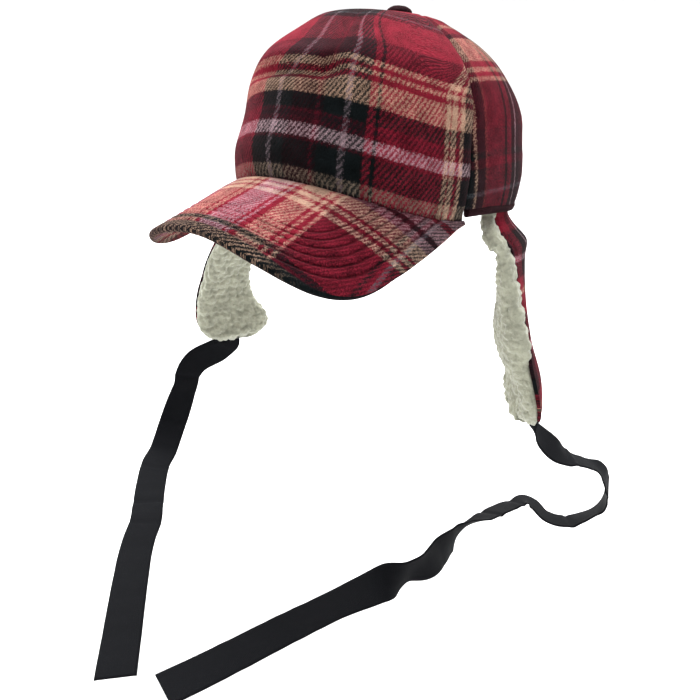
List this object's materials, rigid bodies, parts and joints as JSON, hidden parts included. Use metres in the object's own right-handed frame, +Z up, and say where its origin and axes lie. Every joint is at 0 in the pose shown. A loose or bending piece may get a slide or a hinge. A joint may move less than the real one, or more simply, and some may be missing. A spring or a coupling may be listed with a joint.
{
  "type": "ear-flap cap",
  "caption": "Check wool cap with a curved peak, a panelled crown, fleece-lined ear flaps and ribbon ties, shaped as a head holds it.",
  "frame": {"origin": "where a head holds the cap: the middle of the head opening, near the height of its edge", "axes": "+Z up out of the crown, the peak points along -Y, the wearer's left is +X"},
  "size_m": [0.3489, 0.3607, 0.3562],
  "materials": {
    "crown_front": "brushed wool check in red, maroon, charcoal, coral and cream, with a diagonal twill",
    "crown_side_left": "the same brushed wool check",
    "crown_side_right": "the same brushed wool check",
    "crown_back_left": "the same brushed wool check",
    "crown_back_right": "the same brushed wool check",
    "rim_band": "turned hem of the check, dark maroon",
    "peak": "the same check cut on the slant over a stiff board, with curved rows of stitching",
    "top_button": "cloth-covered button, dark maroon",
    "ear_flap_left": "the same brushed wool check",
    "ear_flap_right": "the same brushed wool check",
    "flap_fleece_left": "off-white curled pile fleece",
    "flap_fleece_right": "off-white curled pile fleece",
    "tie_ribbon_left": "finely ribbed black ribbon",
    "tie_ribbon_right": "finely ribbed black ribbon"
  },
  "bodies": {
    "root": {"crown_front": "crown_front", "crown_side_left": "crown_side_left", "crown_side_right": "crown_side_right", "crown_back_left": "crown_back_left", "crown_back_right": "crown_back_right", "rim_band": "rim_band", "peak": "peak", "top_button": "top_button", "ear_flap_left": "ear_flap_left", "ear_flap_right": "ear_flap_right", "flap_fleece_left": "flap_fleece_left", "flap_fleece_right": "flap_fleece_right", "tie_ribbon_left": "tie_ribbon_left", "tie_ribbon_right": "tie_ribbon_right"}
  },
  "joints": []
}
